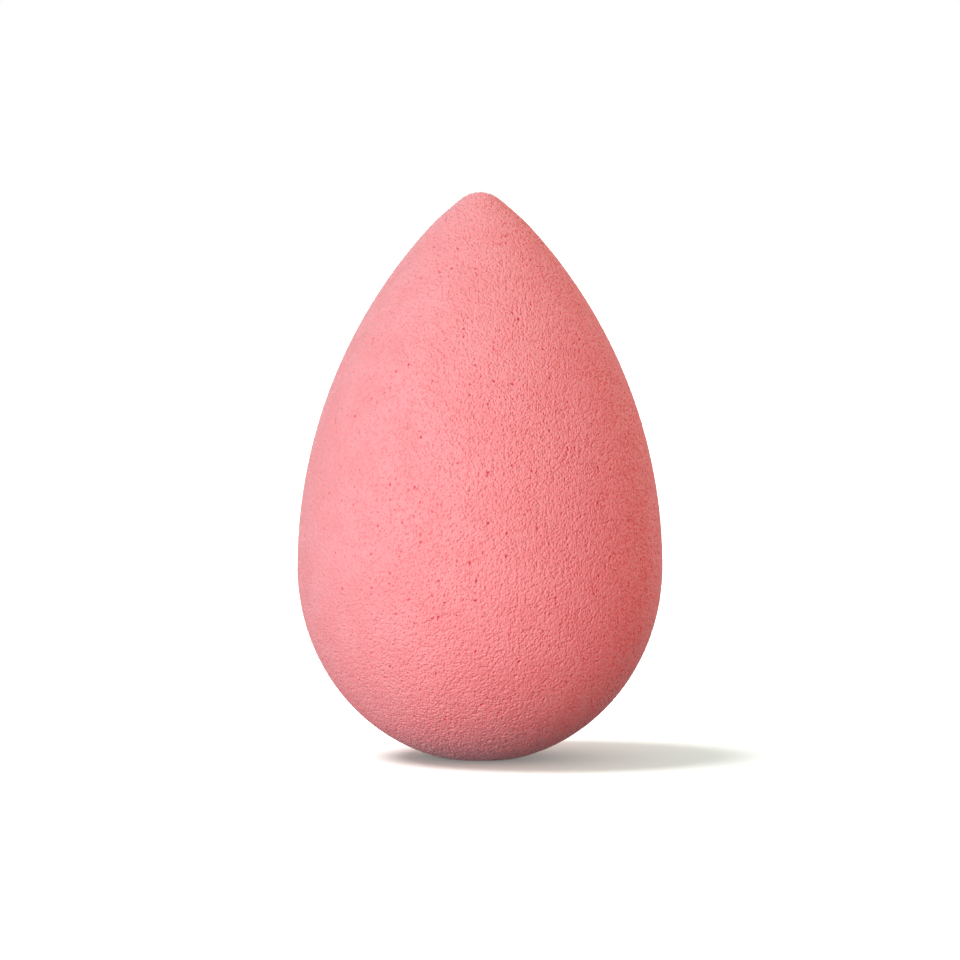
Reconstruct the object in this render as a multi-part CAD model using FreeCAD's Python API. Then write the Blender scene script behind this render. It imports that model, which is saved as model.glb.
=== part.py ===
import FreeCAD, Part
import math
import os

# Teardrop makeup sponge, cast in one piece of soft foam, with nothing inside it or fixed to it.
# Millimetres. The origin is the middle of the flat foot that the sponge stands on, and +Z runs up
# its axis to the tip. The body is one outline, turned about that axis.

# Belly and overall size
DIAMETER = 40.0          # across the widest ring
HEIGHT = 62.0            # from the foot to the top of the tip
WIDEST_HEIGHT = 21.0     # from the foot up to the widest ring
FOOT_DIAMETER = 8.0      # flat spot under the belly

# Flank and tip
TIP_RADIUS = 3.2                # rounding of the tip
SHOULDER_RADIUS = 25.5          # bend between the long flank and the tip
FLANK_FULLNESS_SHARE = 1.017    # flank radius over that of a flank that meets the tip with no shoulder


def point(radius, height):
    """A point of the outline, from its distance to the axis and its height over the foot."""
    return FreeCAD.Vector(radius, 0, height)


def on_circle(centre, radius, angle):
    """The point of a circle in the outline's plane at an angle counted up from level."""
    return centre + point(radius * math.cos(angle), radius * math.sin(angle))


def arc(centre, radius, start, end):
    """The arc of such a circle between two angles."""
    middle = (start + end) / 2
    return Part.Arc(*(on_circle(centre, radius, angle) for angle in (start, middle, end)))


def belly():
    """Elliptical arc from the edge of the foot out to the widest ring, upright where it ends."""
    foot_radius = FOOT_DIAMETER / 2
    ring_radius = DIAMETER / 2
    turn = math.acos(foot_radius / ring_radius)
    depth = WIDEST_HEIGHT / math.sin(turn)
    corner = point(ring_radius, WIDEST_HEIGHT - depth * math.tan(turn / 2))
    curve = Part.BezierCurve()
    curve.setPoles([point(foot_radius, 0), corner, point(ring_radius, WIDEST_HEIGHT)])
    curve.setWeight(2, math.cos(turn / 2))
    return [curve]


def flank_and_tip():
    """Three arcs that run into each other, from the widest ring up to the top of the tip."""
    ring_radius = DIAMETER / 2
    tip_centre = point(0, HEIGHT - TIP_RADIUS)
    rise = tip_centre.z - WIDEST_HEIGHT

    # A flank of this radius is upright at the widest ring and touches the round tip by itself.
    plain_radius = (ring_radius**2 + rise**2 - TIP_RADIUS**2) / (2 * (ring_radius - TIP_RADIUS))
    flank_radius = FLANK_FULLNESS_SHARE * plain_radius
    flank_centre = point(ring_radius - flank_radius, WIDEST_HEIGHT)

    # The shoulder's centre makes a triangle with the centres of the two arcs that it touches.
    to_tip = tip_centre - flank_centre
    to_shoulder = flank_radius - SHOULDER_RADIUS
    shoulder_to_tip = SHOULDER_RADIUS - TIP_RADIUS
    opposite = to_shoulder**2 + to_tip.Length**2 - shoulder_to_tip**2
    flank_end = math.atan2(to_tip.z, to_tip.x) - math.acos(opposite / (2 * to_shoulder * to_tip.Length))
    shoulder_centre = on_circle(flank_centre, to_shoulder, flank_end)
    shoulder_end = math.atan2(tip_centre.z - shoulder_centre.z, tip_centre.x - shoulder_centre.x)

    return [
        arc(flank_centre, flank_radius, 0, flank_end),
        arc(shoulder_centre, SHOULDER_RADIUS, flank_end, shoulder_end),
        arc(tip_centre, TIP_RADIUS, shoulder_end, math.pi / 2),
    ]


def sponge_body():
    """The whole sponge: foot, belly, flank and tip turned about the axis."""
    foot = Part.LineSegment(point(0, 0), point(FOOT_DIAMETER / 2, 0))
    axis = Part.LineSegment(point(0, HEIGHT), point(0, 0))
    outline = [foot, *belly(), *flank_and_tip(), axis]
    half_section = Part.Face(Part.Wire([curve.toShape() for curve in outline]))
    return half_section.revolve(point(0, 0), FreeCAD.Vector(0, 0, 1), 360)


os.makedirs("parts", exist_ok=True)
sponge_body().exportStep("parts/sponge_body.step")
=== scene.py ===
import math
import bpy
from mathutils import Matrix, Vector


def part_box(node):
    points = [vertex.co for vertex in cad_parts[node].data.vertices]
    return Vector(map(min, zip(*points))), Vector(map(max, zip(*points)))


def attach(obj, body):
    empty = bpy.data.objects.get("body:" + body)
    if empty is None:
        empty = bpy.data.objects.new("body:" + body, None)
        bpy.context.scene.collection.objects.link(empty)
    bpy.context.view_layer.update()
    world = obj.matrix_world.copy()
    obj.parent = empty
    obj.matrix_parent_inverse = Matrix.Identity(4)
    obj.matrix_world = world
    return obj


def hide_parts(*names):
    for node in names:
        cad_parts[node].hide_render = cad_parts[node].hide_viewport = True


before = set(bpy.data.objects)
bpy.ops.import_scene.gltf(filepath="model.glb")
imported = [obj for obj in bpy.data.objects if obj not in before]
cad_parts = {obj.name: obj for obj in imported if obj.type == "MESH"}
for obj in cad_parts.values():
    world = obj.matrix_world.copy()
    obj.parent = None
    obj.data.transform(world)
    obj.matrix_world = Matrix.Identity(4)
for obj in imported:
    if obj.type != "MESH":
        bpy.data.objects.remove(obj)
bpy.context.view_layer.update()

# Sponge body: the whole sponge, one block of soft pink open-cell polyurethane foam shaped like a drop.
# It is cast in one mould without a seam, stands on a small flat foot, and nothing is fixed to it.
# Its surface cuts the foam's cells open, which shows as fine grain, small bubbles and a few pores.
foot_corner, tip_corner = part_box("sponge_body")
ring_radius = (tip_corner.x - foot_corner.x) / 2
sponge_height = tip_corner.z
widest_height = 0.021
foot_radius = 0.004
tip_radius = 0.0032
shoulder_radius = 0.0255
flank_fullness_share = 1.017
points_per_arc = 96


def on_circle(centre, radius, angle):
    """The point of a circle in the outline's upright plane, at an angle counted up from level."""
    return Vector((centre.x + radius * math.cos(angle), 0, centre.z + radius * math.sin(angle)))


def arc(centre, radius, start, end):
    """Points along such a circle, without the last one."""
    steps = range(points_per_arc)
    return [on_circle(centre, radius, start + (end - start) * step / points_per_arc) for step in steps]


# A flank of the plain radius would touch the tip. It is taken a little fuller, and a shoulder joins them.
tip_centre = Vector((0, 0, sponge_height - tip_radius))
rise = tip_centre.z - widest_height
plain_radius = (ring_radius**2 + rise**2 - tip_radius**2) / (2 * (ring_radius - tip_radius))
flank_radius = flank_fullness_share * plain_radius
flank_centre = Vector((ring_radius - flank_radius, 0, widest_height))

# The shoulder's circle lies inside the flank's, holds the tip's and touches both, which fixes its centre.
to_tip = tip_centre - flank_centre
to_shoulder = flank_radius - shoulder_radius
shoulder_to_tip = shoulder_radius - tip_radius
side_squares = to_shoulder**2 + to_tip.length_squared - shoulder_to_tip**2
flank_end = math.atan2(to_tip.z, to_tip.x) - math.acos(side_squares / (2 * to_shoulder * to_tip.length))
shoulder_centre = on_circle(flank_centre, to_shoulder, flank_end)
shoulder_end = math.atan2(tip_centre.z - shoulder_centre.z, tip_centre.x - shoulder_centre.x)

# The belly is a circle stretched in height, so that it reaches the floor at the edge of the foot.
belly_turn = math.acos(foot_radius / ring_radius)
belly_depth = widest_height / math.sin(belly_turn)
belly_points = [
    Vector((point.x, 0, widest_height + point.z * belly_depth / ring_radius))
    for point in arc(Vector(), ring_radius, 0, -belly_turn)
]

# The outline runs from the top of the tip over shoulder, flank and belly to the middle of the foot.
outline_points = [
    *arc(tip_centre, tip_radius, math.pi / 2, shoulder_end),
    *arc(shoulder_centre, shoulder_radius, shoulder_end, flank_end),
    *arc(flank_centre, flank_radius, flank_end, 0),
    *belly_points,
    Vector((foot_radius, 0, 0)),
    Vector((0, 0, 0)),
]
outline_edges = [(step, step + 1) for step in range(len(outline_points) - 1)]
outline_mesh = bpy.data.meshes.new("sponge_outline")
outline_mesh.from_pydata(outline_points, outline_edges, [])


def add(tree, kind, inputs=None, **options):
    """Adds a node, sets its options and feeds its inputs from sockets or plain values."""
    made = tree.nodes.new(kind)
    for name, value in options.items():
        setattr(made, name, value)
    for key, value in (inputs or {}).items():
        if isinstance(value, bpy.types.NodeSocket):
            tree.links.new(value, made.inputs[key])
        else:
            made.inputs[key].default_value = value
    return made


def maths(tree, operation, *values):
    """One step of arithmetic on numbers or sockets."""
    return add(tree, "ShaderNodeMath", dict(enumerate(values)), operation=operation).outputs[0]


def vectors(tree, operation, *values):
    """One step of arithmetic on vectors."""
    return add(tree, "ShaderNodeVectorMath", dict(enumerate(values)), operation=operation).outputs[0]


def scaled(tree, vector, factor):
    """A vector times a number."""
    return add(tree, "ShaderNodeVectorMath", {0: vector, "Scale": factor}, operation="SCALE").outputs[0]


def axes(tree, vector):
    """A vector's three numbers."""
    return add(tree, "ShaderNodeSeparateXYZ", {0: vector}).outputs


def joined(tree, **numbers):
    """A vector from its numbers, 0 where none is given."""
    return add(tree, "ShaderNodeCombineXYZ", numbers).outputs[0]


def per_metre(tree, length):
    """How often a length fits in a metre."""
    return maths(tree, "DIVIDE", 1.0, length)


noise_middle = 0.5


def noise(tree, place, scale, detail=0.0):
    """Smooth random waves round the noise's middle, about this many to a metre."""
    inputs = {"Vector": place, "Scale": scale, "Detail": detail}
    return add(tree, "ShaderNodeTexNoise", inputs).outputs


def ramp(tree, value, low, high):
    """Runs smoothly from 0 at low to 1 at high."""
    inputs = {"Value": value, "From Min": low, "From Max": high}
    return add(tree, "ShaderNodeMapRange", inputs, interpolation_type="SMOOTHSTEP").outputs[0]


# Waves and cells of the foam, in metres. Grain is close and even, and most pores stay far below full size.
foam_sizes = {
    "Seed": 4.0,
    "Relief Size": 0.00014,
    "Relief Depth": 0.00018,
    "Warp Size": 0.00025,
    "Warp Reach": 0.00020,
    "Grain Spacing": 0.00023,
    "Grain Radius": 0.00015,
    "Grain Depth": 0.00017,
    "Bubble Spacing": 0.00046,
    "Bubble Radius": 0.00015,
    "Bubble Depth": 0.00009,
    "Pore Spacing": 0.00066,
    "Pore Radius": 0.00020,
    "Pore Depth": 0.00022,
}
size_powers = {"Grain": 0.5, "Bubble": 1.0, "Pore": 3.0}
pit_floor_share = 0.35


def pits(tree, place, spacing, radius, depth, size_power):
    """Cuts cells of mixed size open: how far each point lies inside one, and how deep that goes."""
    cells = add(tree, "ShaderNodeTexVoronoi", {"Vector": place, "Scale": per_metre(tree, spacing)}).outputs
    distance = maths(tree, "MULTIPLY", cells["Distance"], spacing)
    size_share = maths(tree, "POWER", axes(tree, cells["Color"])[0], size_power)
    rim = maths(tree, "MULTIPLY", size_share, radius)
    inside = ramp(tree, distance, rim, maths(tree, "MULTIPLY", rim, pit_floor_share))
    return inside, maths(tree, "MULTIPLY", maths(tree, "MULTIPLY", inside, size_share), depth)


def cut_cells(tree, place, sizes):
    """Cuts all cells open in a slightly bent space: where each kind lies, and the depth in all."""
    seeded = vectors(tree, "ADD", place, joined(tree, X=sizes["Seed"]))
    waves = noise(tree, seeded, per_metre(tree, sizes["Warp Size"]))["Color"]
    sway = vectors(tree, "SUBTRACT", waves, (noise_middle, noise_middle, noise_middle))
    bent = vectors(tree, "ADD", seeded, scaled(tree, sway, sizes["Warp Reach"]))
    inside = {}
    sunk = {}
    for cell, size_power in size_powers.items():
        spacing, radius, depth = (sizes[cell + size] for size in (" Spacing", " Radius", " Depth"))
        inside[cell], sunk[cell] = pits(tree, bent, spacing, radius, depth, size_power)
    larger = maths(tree, "MAXIMUM", sunk["Bubble"], sunk["Pore"])
    return inside, maths(tree, "ADD", sunk["Grain"], larger)


foam_tree = bpy.data.node_groups.new("Cast foam", "GeometryNodeTree")
foam_inputs = {
    "Outline": "NodeSocketGeometry",
    "Subdivisions": "NodeSocketInt",
    **dict.fromkeys(foam_sizes, "NodeSocketFloat"),
    "Foam": "NodeSocketMaterial",
}
sockets = {
    name: foam_tree.interface.new_socket(name, in_out="INPUT", socket_type=kind)
    for name, kind in foam_inputs.items()
}
foam_tree.interface.new_socket("Body", in_out="OUTPUT", socket_type="NodeSocketGeometry")
given = add(foam_tree, "NodeGroupInput").outputs

# Turn the outline: each point of a ball slides to its own place along the outline.
ball_inputs = {"Radius": 1.0, "Subdivisions": given["Subdivisions"]}
ball = add(foam_tree, "GeometryNodeMeshIcoSphere", ball_inputs).outputs[0]
ball_place = add(foam_tree, "GeometryNodeInputPosition").outputs[0]
ball_axes = axes(foam_tree, ball_place)
share_down = maths(foam_tree, "DIVIDE", maths(foam_tree, "ARCCOSINE", ball_axes["Z"]), math.pi)
curve = add(foam_tree, "GeometryNodeMeshToCurve", {0: given["Outline"]}).outputs[0]
sample_inputs = {"Curves": curve, "Factor": share_down}
sample = add(foam_tree, "GeometryNodeSampleCurve", sample_inputs, mode="FACTOR", use_all_curves=True)
sample_axes = axes(foam_tree, sample.outputs["Position"])
level = vectors(foam_tree, "NORMALIZE", joined(foam_tree, X=ball_axes["X"], Y=ball_axes["Y"]))
outward = scaled(foam_tree, level, sample_axes["X"])
turned_place = vectors(foam_tree, "ADD", outward, joined(foam_tree, Z=sample_axes["Z"]))


def keep(tree, geometry, name, value, data_type, domain):
    """Stores a value on the mesh under this name."""
    inputs = {"Geometry": geometry, "Name": name, "Value": value}
    kept = add(tree, "GeometryNodeStoreNamedAttribute", inputs, data_type=data_type, domain=domain)
    return kept.outputs[0]


half_turn_share = 0.5


def around(tree, place):
    """Share of a full turn round the axis that a point lies at."""
    place_axes = axes(tree, place)
    turn = maths(tree, "ARCTAN2", place_axes["Y"], place_axes["X"])
    return maths(tree, "ADD", maths(tree, "DIVIDE", turn, 2 * math.pi), half_turn_share)


# The colour map wraps once round the axis, and faces across its seam keep their corners together.
map_margin_share = 0.005
on_faces = {"data_type": "FLOAT_VECTOR", "domain": "FACE"}
face_middle = add(foam_tree, "GeometryNodeFieldOnDomain", {"Value": ball_place}, **on_faces).outputs[0]
corner_turn = around(foam_tree, ball_place)
turns_apart = maths(foam_tree, "SUBTRACT", around(foam_tree, face_middle), corner_turn)
wrapped = maths(foam_tree, "ADD", corner_turn, maths(foam_tree, "ROUND", turns_apart))
inset = maths(foam_tree, "MULTIPLY_ADD", wrapped, 1 - 2 * map_margin_share, map_margin_share)
map_place = joined(foam_tree, X=inset, Y=share_down)
mapped = keep(foam_tree, ball, "OFBake", map_place, "FLOAT2", "CORNER")
turned_inputs = {"Geometry": mapped, "Position": turned_place}
turned = add(foam_tree, "GeometryNodeSetPosition", turned_inputs).outputs[0]

# Sink the surface: low waves all over, and a pit for each cell that it cuts. The foot stays on the floor.
place = add(foam_tree, "GeometryNodeInputPosition").outputs[0]
cell_depth = cut_cells(foam_tree, place, given)[1]
waves = noise(foam_tree, place, per_metre(foam_tree, given["Relief Size"]))[0]
dip = maths(foam_tree, "SUBTRACT", waves, noise_middle)
wave_depth = maths(foam_tree, "MULTIPLY", dip, given["Relief Depth"])
sunk_depth = maths(foam_tree, "ADD", cell_depth, wave_depth)
normal = add(foam_tree, "GeometryNodeInputNormal").outputs[0]
inward = scaled(foam_tree, normal, maths(foam_tree, "MULTIPLY", sunk_depth, -1.0))
sunk_axes = axes(foam_tree, vectors(foam_tree, "ADD", place, inward))
above_floor = maths(foam_tree, "MAXIMUM", sunk_axes["Z"], 0.0)
pitted_place = joined(foam_tree, X=sunk_axes["X"], Y=sunk_axes["Y"], Z=above_floor)

# The skin's place before it sinks is kept, so that the material cuts the very same cells.
marked = keep(foam_tree, turned, "skin", place, "FLOAT_VECTOR", "POINT")
pitted_inputs = {"Geometry": marked, "Position": pitted_place}
pitted = add(foam_tree, "GeometryNodeSetPosition", pitted_inputs).outputs[0]
smooth = add(foam_tree, "GeometryNodeSetShadeSmooth", {0: pitted}).outputs[0]
realized = add(foam_tree, "GeometryNodeRealizeInstances", {0: smooth}).outputs[0]
finish_inputs = {"Geometry": realized, "Material": given["Foam"]}
finished = add(foam_tree, "GeometryNodeSetMaterial", finish_inputs).outputs[0]
add(foam_tree, "NodeGroupOutput", {0: finished})


def blend(tree, factor, first, second):
    """Mixes two colours."""
    return add(tree, "ShaderNodeMix", {0: factor, 6: first, 7: second}, data_type="RGBA").outputs[2]


# Dry foam is matt and slightly blotchy. Cut cells are rougher and painted darker and redder, as shade in
# their pits, the pores the most.
pale_colour = (0.945, 0.385, 0.382, 1)
deep_colour = (0.935, 0.352, 0.348, 1)
blotches_per_metre = 260.0
blotch_detail = 3.0
blotch_low = 0.35
blotch_high = 0.65
# Painted shade: the cut cells' darker, redder colours stand for the shade and reddened light inside their
# pits.
cell_shade_colours = {
    "Grain": (0.935, 0.350, 0.345, 1),
    "Bubble": (0.92, 0.320, 0.322, 1),
    "Pore": (0.80, 0.11, 0.17, 1),
}
skin_roughness = 0.70
cell_roughening = {"Grain": 0.06, "Bubble": 0.08, "Pore": 0.12}
fine_waves_per_metre = 6000.0
fine_height = 0.000065
pit_bump_share = 0.26
foam = bpy.data.materials.new("pink_foam")
foam.use_nodes = True
foam_shader = foam.node_tree
foam_shader.nodes.clear()
object_place = add(foam_shader, "ShaderNodeTexCoord").outputs["Object"]
blotches = noise(foam_shader, object_place, blotches_per_metre, blotch_detail)[0]
paleness = ramp(foam_shader, blotches, blotch_low, blotch_high)
colour = blend(foam_shader, paleness, deep_colour, pale_colour)
roughness = skin_roughness
skin = add(foam_shader, "ShaderNodeAttribute", attribute_name="skin").outputs["Vector"]
masks, pit_depth = cut_cells(foam_shader, skin, foam_sizes)
# Each cut cell is painted with its shade colour and made rougher.
for cell, mask in masks.items():
    colour = blend(foam_shader, mask, colour, cell_shade_colours[cell])
    roughness = maths(foam_shader, "MULTIPLY_ADD", mask, cell_roughening[cell], roughness)
fine_waves = noise(foam_shader, object_place, fine_waves_per_metre)[0]
raised = maths(foam_shader, "MULTIPLY", fine_waves, fine_height)
height = maths(foam_shader, "MULTIPLY_ADD", pit_depth, -pit_bump_share, raised)
bump = add(foam_shader, "ShaderNodeBump", {"Strength": 1.0, "Distance": 1.0, "Height": height})
surface = add(
    foam_shader,
    "ShaderNodeBsdfPrincipled",
    {
        "Base Color": colour,
        "Roughness": roughness,
        "Specular IOR Level": 0.25,
        "Sheen Weight": 0.10,
        "Sheen Roughness": 0.5,
        "Normal": bump.outputs[0],
    },
)
add(foam_shader, "ShaderNodeOutputMaterial", {"Surface": surface.outputs[0]})


def show(thing):
    """Puts an object into the scene."""
    bpy.context.scene.collection.objects.link(thing)


# Cast the sponge: the tree's result becomes a plain mesh.
ball_subdivisions = 9
body = bpy.data.objects.new("sponge", outline_mesh)
show(body)
casting = body.modifiers.new("casting", "NODES")
casting.node_group = foam_tree
casting[sockets["Subdivisions"].identifier] = ball_subdivisions
casting[sockets["Foam"].identifier] = foam
for name, size in foam_sizes.items():
    casting[sockets[name].identifier] = size
depsgraph = bpy.context.evaluated_depsgraph_get()
cast_body = body.evaluated_get(depsgraph)
body_mesh = bpy.data.meshes.new_from_object(cast_body, preserve_all_data_layers=True, depsgraph=depsgraph)
body.modifiers.clear()
body.data = body_mesh
bpy.data.meshes.remove(outline_mesh)
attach(body, "root")
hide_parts("sponge_body")

# Stage, no part of the sponge: a plain white floor and backdrop, soft lamps, and a camera a little above.
# The camera sees white paper with a slight glow of its own. To all other light the floor is a dark red,
# which together with a red lamp in front stands in for the light that scatters inside real foam.
floor_reach = 3.0
floor_corners = [
    (-floor_reach, -floor_reach, 0),
    (floor_reach, -floor_reach, 0),
    (floor_reach, floor_reach, 0),
    (-floor_reach, floor_reach, 0),
]
paper_colour = (0.8, 0.8, 0.8, 1)
paper_glow = (0.14, 0.16, 0.15, 1)
return_colour = (0.19, 0.015, 0.008, 1)
floor_mesh = bpy.data.meshes.new("floor")
floor_mesh.from_pydata(floor_corners, [], [(0, 1, 2, 3)])
floor = bpy.data.objects.new("floor", floor_mesh)
show(floor)
white_floor = bpy.data.materials.new("white_floor")
white_floor.use_nodes = True
floor_shader = white_floor.node_tree
floor_shader.nodes.clear()
floor_seen = add(floor_shader, "ShaderNodeLightPath").outputs["Is Camera Ray"]
returned = add(floor_shader, "ShaderNodeBsdfDiffuse", {"Color": return_colour}).outputs[0]
paper = add(floor_shader, "ShaderNodeBsdfDiffuse", {"Color": paper_colour}).outputs[0]
lift = add(floor_shader, "ShaderNodeEmission", {"Color": paper_glow, "Strength": 1.0}).outputs[0]
lifted = add(floor_shader, "ShaderNodeAddShader", {0: paper, 1: lift}).outputs[0]
floor_look = add(floor_shader, "ShaderNodeMixShader", {0: floor_seen, 1: returned, 2: lifted}).outputs[0]
add(floor_shader, "ShaderNodeOutputMaterial", {"Surface": floor_look})
floor_mesh.materials.append(white_floor)

# The backdrop is white to the camera alone, and lights the scene as a dim, warm room.
room_colour = (0.27, 0.26, 0.22, 1)
backdrop_colour = (1, 1, 1, 1)
world = bpy.data.worlds.new("studio")
bpy.context.scene.world = world
world.use_nodes = True
studio = world.node_tree
studio.nodes.clear()
backdrop_seen = add(studio, "ShaderNodeLightPath").outputs["Is Camera Ray"]
room = add(studio, "ShaderNodeBackground", {"Color": room_colour, "Strength": 1.0}).outputs[0]
backdrop = add(studio, "ShaderNodeBackground", {"Color": backdrop_colour, "Strength": 1.0}).outputs[0]
studio_look = add(studio, "ShaderNodeMixShader", {0: backdrop_seen, 1: room, 2: backdrop}).outputs[0]
add(studio, "ShaderNodeOutputWorld", {"Surface": studio_look})


def sun(name, lit, toward, strength, spread, colour):
    """A far lamp in this direction that lights one object, as soft as its spread in degrees is wide."""
    lamp = bpy.data.lights.new(name, "SUN")
    lamp.energy = strength
    lamp.angle = math.radians(spread)
    lamp.color = colour
    holder = bpy.data.objects.new(name, lamp)
    holder.rotation_euler = Vector(toward).to_track_quat("Z", "Y").to_euler()
    show(holder)
    holder.light_linking.receiver_collection = bpy.data.collections.new(name + "_lights")
    holder.light_linking.receiver_collection.objects.link(lit)
    holder.light_linking.blocker_collection = bpy.data.collections.new(name + "_blocks")
    holder.light_linking.blocker_collection.objects.link(body)


# The sponge has a cool key in front on the left, a weak lamp on the left, two behind, a low one behind on
# the right for its rim, and the red one in front. The floor has two of its own, which shape the shadow.
sun("key", body, toward=(-0.523, -0.837, 0.16), strength=2.6, spread=30, colour=(0.62, 1.0, 1.13))
sun("left", body, toward=(-0.972, -0.171, 0.16), strength=0.45, spread=40, colour=(0.95, 1.0, 1.15))
sun("back", body, toward=(0.50, 0.45, 0.72), strength=1.25, spread=40, colour=(1.1, 1.0, 1.0))
sun("rear", body, toward=(-0.15, 0.97, 0.15), strength=2.4, spread=40, colour=(1.0, 1.0, 1.0))
sun("fill", body, toward=(0.80, 0.40, -0.45), strength=0.85, spread=30, colour=(0.60, 1.0, 1.05))
sun("glow", body, toward=(0.05, -0.96, 0.26), strength=1.05, spread=40, colour=(1.0, 0.03, 0.0))
sun("top", floor, toward=(-0.50, -0.04, 0.865), strength=5.0, spread=36, colour=(1.0, 1.0, 1.0))
sun("sky", floor, toward=(0, 0, 1), strength=1.9, spread=160, colour=(0.86, 1.0, 0.93))

camera_place = Vector((0, -0.70, 0.075))
camera_aim = Vector((0, 0, 0.0305))
camera_data = bpy.data.cameras.new("camera")
camera_data.lens = 240.0
camera_data.sensor_width = 36.0
camera = bpy.data.objects.new("camera", camera_data)
show(camera)
camera.location = camera_place
camera.rotation_euler = (camera_place - camera_aim).to_track_quat("Z", "Y").to_euler()
bpy.context.scene.camera = camera
bpy.context.scene.view_settings.view_transform = "Standard"
